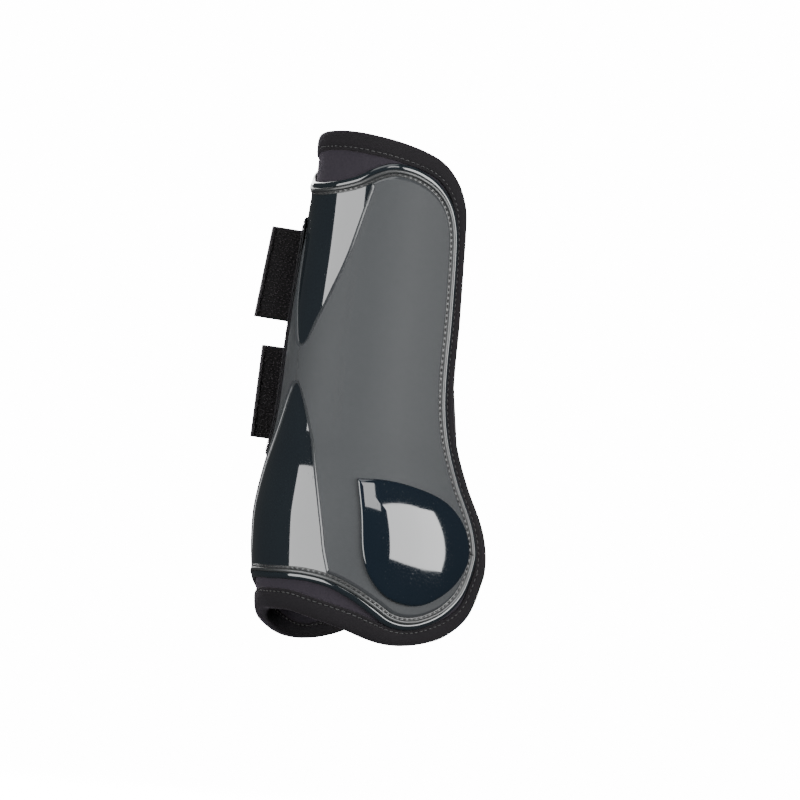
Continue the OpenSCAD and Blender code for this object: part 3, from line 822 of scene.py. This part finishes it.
def fibres(builder, base, up, along_dir, height, reach, radius, mat, hooked):
    """Short curved fibres: hooks curl over at the top, loops come back to the ground."""
    count, steps, sides = len(base), 6, 4
    if hooked:
        rise = np.array([-0.1, 0.45, 0.85, 1.0, 0.88, 0.66])
        go = np.array([0.0, 0.02, 0.18, 0.55, 0.92, 1.0])
    else:
        rise = np.array([-0.15, 0.7, 1.0, 0.95, 0.6, -0.1])
        go = np.array([0.0, -0.1, 0.25, 0.75, 1.1, 1.0])
    centre = (base[:, None] + up[:, None] * (rise[None] * height[:, None])[..., None]
              + along_dir[:, None] * (go[None] * reach[:, None])[..., None])
    run = np.gradient(centre, axis=1)
    run /= np.linalg.norm(run, axis=-1, keepdims=True)
    side = np.cross(along_dir, up)
    side /= np.linalg.norm(side, axis=-1, keepdims=True)
    side = np.repeat(side[:, None], steps, 1)
    other = np.cross(run, side)
    angle = np.arange(sides) * 2 * math.pi / sides
    fat = radius * np.array([1.1, 1, 1, 1, 0.95, 0.7])
    ring = centre[:, :, None] + fat[None, :, None, None] * (
        side[:, :, None] * np.cos(angle)[None, None, :, None] + other[:, :, None] * np.sin(angle)[None, None,
                                                                                                  :, None])
    first = builder.add(ring)
    f, i, j = np.meshgrid(np.arange(count), np.arange(steps - 1), np.arange(sides), indexing="ij")
    at = lambda a, b: first + (f * steps + a) * sides + b % sides
    quad = np.stack([at(i, j), at(i, j + 1), at(i + 1, j + 1), at(i + 1, j)], -1).reshape(-1, 4)
    builder.quads(quad, np.zeros((len(quad), 4, 2)), mat)
    ends = np.arange(count) * steps * sides + first
    for offset, order in ((0, [3, 2, 1, 0]), ((steps - 1) * sides, [0, 1, 2, 3])):
        builder.quads(np.stack([ends + offset + k for k in order], 1), np.zeros((count, 4, 2)), mat)


def make_loop_patch():
    builder = Builder()
    n, m = 120, 150
    loop = loop_loop(n, m)
    section = [(0.9, LOOP_OUT), (0.5, LOOP_OUT - 0.03), (0.18, LOOP_OUT - 0.18), (0, LOOP_OUT - 0.45),
               (0, LOOP_IN + 0.1),
               (0.2, LOOP_IN), (0.9, LOOP_IN)]
    skin(builder, loop, n, m, section, lambda p: LOOP_OUT + soft(p * 9, 0.05), LOOP_IN)
    count = 5200
    t = rng.uniform(0.012, 0.988, (count, 2))
    low, high = curve(LOOP_BOTTOM, t[:, 0]), curve(LOOP_TOP, t[:, 0])
    p = low + t[:, 1:] * (high - low)
    up = lift_of(p)
    heading = rng.uniform(0, 2 * math.pi, count)
    level = np.cross(up, [0, 0, 1.0])
    level /= np.linalg.norm(level, axis=1, keepdims=True)
    rise = np.cross(level, up)
    way = level * np.cos(heading)[:, None] + rise * np.sin(heading)[:, None]
    lean = up + way * rng.uniform(-0.3, 0.3, (count, 1))
    lean /= np.linalg.norm(lean, axis=1, keepdims=True)
    fibres(builder, on_boot(p[:, 0], p[:, 1], LOOP_OUT), lean, way, rng.uniform(0.45, 0.75, count) * MM,
           rng.uniform(0.7, 1.7, count) * MM, 0.00008, 1, hooked=False)
    builder.build("loop_pile_patch", [loop_ground, loop_fibre], "loop_pile", replaces=["loop_patch"])
    seam = loop + 1.3 * inward(loop)
    stitches("loop_patch_seam", on_boot(*seam.T, LOOP_OUT + 0.1), lift_of(seam), 0.0028, 0.00032, [thread],
             replaces=["loop_patch_stitching"])


# ---- straps
def strap_line(strap, angles, tail, across, lift):
    """Points on a strap, ruled straight from its lower to its upper edge. angles run round the boot and
    tail runs on straight back in shares of the free length."""
    z0, free_low, free_high, distances = STRAPS[strap]
    e = across / STRAP_W
    angles, tail, lift = np.asarray(angles, float), np.asarray(tail, float), np.asarray(lift, float)
    fall = STRAP_DROP * np.clip((PEEL_ANGLE - angles) / (PEEL_ANGLE - ROOT_ANGLE), 0, 1)
    low, high = (on_boot(angles, z - fall, along(distances, angles) + lift) for z in (z0, z0 + STRAP_W))
    free = tail * (free_low + (free_high - free_low) * e) * MM
    return low * (1 - e) + high * e + free[:, None] * np.array([-0.05, -1.0, 0.0]) + curl(tail, e)


def curl(tail, e):
    """The free end of a strap lifts a little off the leg and its upper corner rolls in."""
    bend = np.clip(tail, 0, 1) ** 2
    return np.stack([-0.0005 * bend * (1 - 0.8 * e), 0 * bend, 0.0003 * np.sin(np.pi * tail) * (e - 0.5)], -1)


def strap_stations(first, last, count, tail_to=0.0, tail_count=0):
    angles = np.linspace(first, last, count)
    tail = np.zeros(count)
    if tail_count:
        angles = np.concatenate([angles, np.full(tail_count, float(STRAIGHT_ANGLE))])
        tail = np.concatenate([tail, np.linspace(0, tail_to, tail_count + 1)[1:]])
    return angles, tail


def selvedge(width, low, high, columns=30, margin=0.0):
    """Closed outline of a flat tape: (across, lift), rounded at both selvedges."""
    mid, half = (low + high) / 2, (high - low) / 2
    round_off = [(0.0, 0.0), (0.06, 0.45), (0.25, 0.8), (0.6, 0.98)]
    across = np.linspace(1.0, width - 1.0, columns)
    top = [(x, mid + half * h) for x, h in round_off] + [(x, high) for x in across]
    top += [(width - x, mid + half * h) for x, h in reversed(round_off)]
    bottom = [(x, 2 * mid - h) for x, h in reversed(top[1:-1])]
    return [(x + margin, h) for x, h in top + bottom]


def run_length(p):
    return np.concatenate([[0], np.cumsum(np.linalg.norm(np.diff(p, axis=0), axis=1))])


def make_strap(strap):
    """Elastic in two pieces that meet in front of the leg, hook tape with its hooks, and their seams."""
    swing_body, tab_body = f"{strap}_strap_body", f"{strap}_tab_body"
    middle = 180.0
    pieces = []
    for part, (first, last, count, tail_to, tail_count) in {
            "root": (HIDDEN_ANGLE, middle, 110, 0, 0), "end": (middle, STRAIGHT_ANGLE, 170, 1.0, 40)}.items():
        angles, tail = strap_stations(first, last, count, tail_to, tail_count)
        length = run_length(strap_line(strap, angles, tail, STRAP_W / 2, 0))
        builder = Builder()
        ribbon(builder, lambda w, lift: strap_line(strap, angles, tail, w, lift),
               selvedge(STRAP_W, 0, STRAP_T, 40), length)
        pieces.append((part, builder))
    root = pieces[0][1].build(f"{strap}_elastic_front", [elastic], "elastic", body=None,
                              replaces=[f"{strap}_strap_anchor"], creased=True)
    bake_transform(root)
    end = pieces[1][1].build(f"{strap}_elastic_end", [elastic], "elastic", body=None,
                             replaces=[f"{strap}_strap", f"{strap}_strap_end"], creased=True)
    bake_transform(end)

    # Hook tape
    hook_first = 247.4
    angles, tail = strap_stations(hook_first, STRAIGHT_ANGLE, 40, 0.992, 50)
    margin = 0.6
    builder = Builder()
    length = run_length(strap_line(strap, angles, tail, STRAP_W / 2, 0))
    inset_low, inset_high = HOOK_IN - STRAP_IN, HOOK_OUT - STRAP_IN
    ribbon(builder, lambda w, lift: strap_line(strap, angles, tail, w, lift),
           selvedge(STRAP_W - 2 * margin, inset_low, inset_high, 30, margin), length)
    add_hooks(builder, strap, angles, tail, length, inset_low)
    builder.build(f"{strap}_hooks", [hook_ground, hook_fibre], "hook_pile", tab_body, [f"{strap}_hook_tape"])

    # Seam round the hook tape, on the outer face
    first, last, edge = 0.035, 0.95, 3.2
    s = length / length[-1]
    place = lambda share, across: np.array([np.interp(share, s, c) for c in (
        strap_line(strap, angles, tail, across, STRAP_T + 0.05)).T])
    corners = [(first, edge), (last, edge), (last, STRAP_W - edge), (first, STRAP_W - edge), (first, edge)]
    path, ups = [], []
    for (s0, w0), (s1, w1) in zip(corners, corners[1:]):
        for t in np.linspace(0, 1, 80)[:-1]:
            share, across = s0 + (s1 - s0) * t, w0 + (w1 - w0) * t
            here = place(share, across)
            path.append(here)
            ups.append(place(share, across) - np.array([np.interp(share, s, c) for c in strap_line(
                strap, angles, tail, across, 0.0).T]))
    stitches(f"{strap}_hook_seam", np.array(path), np.array(ups), 0.0030, 0.00032, [thread], tab_body,
             [f"{strap}_hook_stitching"])


def add_hooks(builder, strap, angles, tail, length, low):
    """Rows of small hooks on the tape's inner face, with a ragged row along the cut end."""
    pitch_along, pitch_across = 0.00125, 1.25
    rows = int(length[-1] / pitch_along)
    cols = int((STRAP_W - 5) / pitch_across)
    s, w = np.meshgrid((np.arange(rows) + 0.5) / rows,
                       np.arange(cols) / (cols - 1) * (STRAP_W - 5) + 2.5, indexing="ij")
    s, w = s.ravel(), w.ravel()
    s = np.clip(s + rng.normal(0, 0.012, len(s)), 0.005, 0.999)
    w = np.clip(w + rng.normal(0, 0.55, len(w)), 1.0, STRAP_W - 1.0)
    ragged = 900
    s = np.concatenate([s, rng.uniform(0.985, 1.0, ragged)])
    w = np.concatenate([w, rng.uniform(0.8, STRAP_W - 0.8, ragged)])
    share = length / length[-1]

    def spot(s, w, lift):
        low_edge, high_edge = (strap_line(strap, angles, tail, a, lift) for a in (0.0, STRAP_W))
        e = (w / STRAP_W)[:, None]
        at = lambda line: np.stack([np.interp(s, share, line[:, c]) for c in range(3)], 1)
        return at(low_edge) * (1 - e) + at(high_edge) * e

    base = spot(s, w, low)
    up = spot(s, w, low - 1) - base
    up /= np.linalg.norm(up, axis=1, keepdims=True)
    back = spot(np.minimum(s + 0.01, 1), w, low) - spot(np.maximum(s - 0.01, 0), w, low)
    back /= np.linalg.norm(back, axis=1, keepdims=True)
    side = np.cross(up, back)
    heading = rng.normal(0, 0.5, len(s)) + np.where(np.arange(len(s)) % 2 == 0, 0, math.pi)
    heading[-ragged:] = rng.normal(0, 0.6, ragged)
    way = back * np.cos(heading)[:, None] + side * np.sin(heading)[:, None]
    lean = up + 0.25 * rng.normal(0, 1, (len(s), 1)) * way
    lean[-ragged:] = up[-ragged:] * 0.5 + back[-ragged:] * rng.uniform(0.4, 1.0, (ragged, 1))
    lean /= np.linalg.norm(lean, axis=1, keepdims=True)
    height = rng.uniform(0.45, 0.78, len(s)) * MM
    height[-ragged:] *= rng.uniform(0.8, 3.4, ragged)
    fibres(builder, base, lean, way, height, rng.uniform(0.35, 0.7, len(s)) * MM, 0.00011, 1, hooked=True)


# ---- camera, light and floor
def add_camera():
    """The photograph's viewing angle, worked out from its azimuth, elevation and roll."""
    azimuth, elevation, roll = math.radians(52), math.radians(-4), math.radians(5.5)
    distance, target = 2.0, Vector((0, 0, 0.118))
    right_shift = 0.0195
    back = Vector((math.sin(azimuth) * math.cos(elevation), -math.cos(azimuth) * math.cos(elevation),
                   math.sin(elevation)))
    right = (-back).cross(Vector((0, 0, 1))).normalized()
    up = right.cross(-back)
    right, up = (right * math.cos(roll) + up * math.sin(roll), -right * math.sin(roll) + up * math.cos(roll))
    data = bpy.data.cameras.new("camera")
    data.lens, data.sensor_width = 180, 36
    camera = bpy.data.objects.new("camera", data)
    bpy.context.scene.collection.objects.link(camera)
    camera.matrix_world = Matrix.Translation(target + back * distance + right * right_shift) @ Matrix(
        (right, up, back)).transposed().to_4x4()
    bpy.context.scene.camera = camera


def add_softbox(name, azimuth, elevation, distance, size, power, aim=(0, 0, 0.11), colour=(1, 1, 1)):
    a, e = math.radians(azimuth), math.radians(elevation)
    away = Vector((math.sin(a) * math.cos(e), -math.cos(a) * math.cos(e), math.sin(e)))
    data = bpy.data.lights.new(name, "AREA")
    data.shape, data.size, data.size_y = "RECTANGLE", size[0], size[1]
    data.energy, data.color = power, colour
    light = bpy.data.objects.new(name, data)
    bpy.context.scene.collection.objects.link(light)
    light.location = Vector(aim) + away * distance
    light.rotation_euler = away.to_track_quat("Z", "Y").to_euler()


def add_stage():
    """Pale floor that sweeps up into a backdrop far behind the boot."""
    floor_z = cad_bounds[0][2] - 0.15
    builder = Builder()
    side = np.linspace(-6, 6, 25)
    quarter = np.linspace(0, math.pi / 2, 16)
    sweep = [(-6, 0)] + [(4 + 2 * math.sin(t), 2 - 2 * math.cos(t)) for t in quarter] + [(6, 6)]
    azimuth = math.radians(52)
    away = np.array([-math.sin(azimuth), math.cos(azimuth)])
    across = np.array([math.cos(azimuth), math.sin(azimuth)])
    points = np.array([[[*(s * across + d * away), floor_z + h] for s in side] for d, h in sweep])
    builder.grid(points, points[..., :2])
    n = Nodes("pale_floor")
    n.set(Base_Color=n.ramp(n.noise(n.coords(), 3.0), (0.86, 0.86, 0.86), (0.9, 0.9, 0.9)), Roughness=0.85,
          Emission_Color=(1, 1, 1, 1), Emission_Strength=15.0)
    floor = builder.build("floor", [n.material], frame["record"]["materials"][0]["slot"], body=None)
    # The pale floor is far below, so it isn't mirrored in the glossy shell
    floor.visible_glossy = floor.visible_diffuse = floor.visible_shadow = False


def add_world(seen, fill):
    """White where the camera looks past the floor, and a faint even fill on the boot."""
    world = bpy.data.worlds.new("studio")
    world.use_nodes = True
    nodes, links = world.node_tree.nodes, world.node_tree.links
    path, choice = nodes.new("ShaderNodeLightPath"), nodes.new("ShaderNodeMapRange")
    choice.inputs["To Min"].default_value, choice.inputs["To Max"].default_value = fill, seen
    links.new(path.outputs["Is Camera Ray"], choice.inputs["Value"])
    links.new(choice.outputs["Result"], nodes["Background"].inputs["Strength"])
    nodes["Background"].inputs["Color"].default_value = (1, 1, 1, 1)
    bpy.context.scene.world = world


add_camera()
make_shell()
make_rim_ridge()
make_matt_layer()
make_guard("medial_guard_dome", 1, "medial_fetlock_guard")
make_guard("lateral_guard_dome", -1, "lateral_fetlock_guard")
make_lining()
make_binding()
make_shell_seam()
make_loop_patch()
for strap in STRAPS:
    make_strap(strap)
add_stage()
add_world(15.0, 0.06)
add_softbox("left_softbox", 10.5, -3.2, 1.6, (1.60, 1.34), 72)
add_softbox("right_softbox", 114, 8, 1.6, (1.40, 1.00), 66)
add_softbox("front_softbox", 238, 34, 1.9, (1.6, 1.6), 75)
add_softbox("small_softbox", 74, 24, 1.6, (0.50, 0.42), 5.5)
add_softbox("top_softbox", 48, 58, 1.8, (1.4, 1.4), 16)
